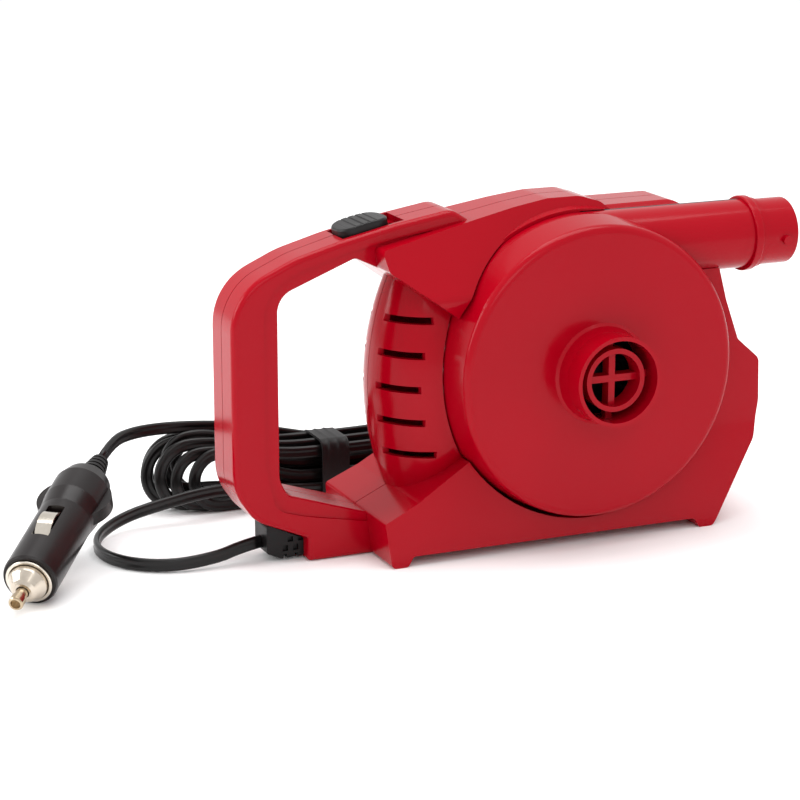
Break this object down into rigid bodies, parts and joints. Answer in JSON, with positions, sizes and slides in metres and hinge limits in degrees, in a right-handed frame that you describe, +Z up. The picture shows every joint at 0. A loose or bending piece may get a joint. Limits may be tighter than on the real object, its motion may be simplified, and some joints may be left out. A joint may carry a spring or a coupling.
{
  "type": "electric air mattress pump",
  "caption": "Hand-held blower with a loop grip, round fan housing, tangential air outlet, intake port, thumb switch and a corded car plug.",
  "frame": {"origin": "on the ground, midway between the grip's outer face and the outlet's mouth, on the housing's parting plane", "axes": "+X from the grip to the outlet, +Y from the intake port to the motor dome, +Z up"},
  "size_m": [0.324, 0.135, 0.1348],
  "materials": {
    "red_shell": "glossy red ABS moulding",
    "red_volute": "glossy red ABS moulding",
    "volute_inside": "black ABS, hidden half of the fan housing",
    "fan_plastic": "black moulded nylon",
    "motor_steel": "zinc plated drawn steel",
    "screw_steel": "blackened steel",
    "shaft_steel": "ground steel",
    "ferrite": "sintered ferrite",
    "cap_plastic": "black nylon",
    "bearing_bronze": "oil-filled sintered bronze",
    "core_steel": "stacked silicon steel sheets",
    "copper": "enamelled copper wire",
    "carbon": "carbon brush",
    "terminal_brass": "bare brass",
    "switch_black": "black moulded ABS",
    "cord_pvc": "black flexible PVC",
    "tie_band": "black flat band",
    "boot_pvc": "black moulded PVC",
    "plug_black": "black moulded bakelite-like plastic",
    "plug_nickel": "nickel plated brass",
    "pin_brass": "nickel plated brass, worn",
    "contact_steel": "nickel plated spring steel",
    "spring_steel": "spring wire",
    "fuse_glass": "glass tube fuse with metal ends"
  },
  "bodies": {
    "housing": {"front_shell": "red_shell", "rear_shell": "red_shell", "shell_screws": "screw_steel", "volute_cover": "red_volute", "volute_back": "volute_inside", "nozzle_tube": "red_volute", "motor_can": "motor_steel", "field_magnets": "ferrite", "motor_end_cap": "cap_plastic", "front_bearing": "bearing_bronze", "rear_bearing": "bearing_bronze", "brushes": "carbon", "motor_terminals": "terminal_brass", "motor_screws": "screw_steel", "switch_body": "cap_plastic", "switch_tags": "terminal_brass", "supply_wire": "cord_pvc", "strain_relief": "boot_pvc", "lead_front": "cord_pvc", "cord_hank": "cord_pvc", "cord_tie": "tie_band", "lead_plug": "cord_pvc", "plug_body": "plug_black", "plug_tail_relief": "boot_pvc", "plug_ring": "plug_nickel", "plug_cap": "plug_nickel", "plug_spring": "spring_steel"},
    "rotor": {"motor_shaft": "shaft_steel", "impeller": "fan_plastic", "armature_core": "core_steel", "armature_coils": "copper", "commutator": "copper"},
    "switch_slide": {"switch_button": "switch_black"},
    "plug_pin": {"plug_tip": "pin_brass", "plug_fuse": "fuse_glass"},
    "contact_upper": {"plug_contact_top": "contact_steel"},
    "contact_lower": {"plug_contact_low": "contact_steel"}
  },
  "joints": [
    {"name": "fan_spin", "type": "hinge", "parent": "housing", "child": "rotor", "pos_m": [0.02475, 0, 0.0704], "axis": [0, 1, 0], "continuous": true},
    {"name": "switch_travel", "type": "slide", "parent": "housing", "child": "switch_slide", "axis": [0.9789, 0, 0.2045], "range_m": [0, 0.0045]},
    {"name": "plug_pin_press", "type": "slide", "parent": "housing", "child": "plug_pin", "axis": [0.569, 0.7717, 0.284], "range_m": [0, 0.002], "stiffness_N_per_m": 600, "springref_m": -0.002, "deforming": ["plug_spring"]},
    {"name": "contact_upper_press", "type": "slide", "parent": "housing", "child": "contact_upper", "axis": [0.1685, 0.2286, -0.9588], "range_m": [0, 0.001], "stiffness_N_per_m": 1500, "springref_m": -0.001},
    {"name": "contact_lower_press", "type": "slide", "parent": "housing", "child": "contact_lower", "axis": [-0.1685, -0.2286, 0.9588], "range_m": [0, 0.001], "stiffness_N_per_m": 1500, "springref_m": -0.001}
  ]
}
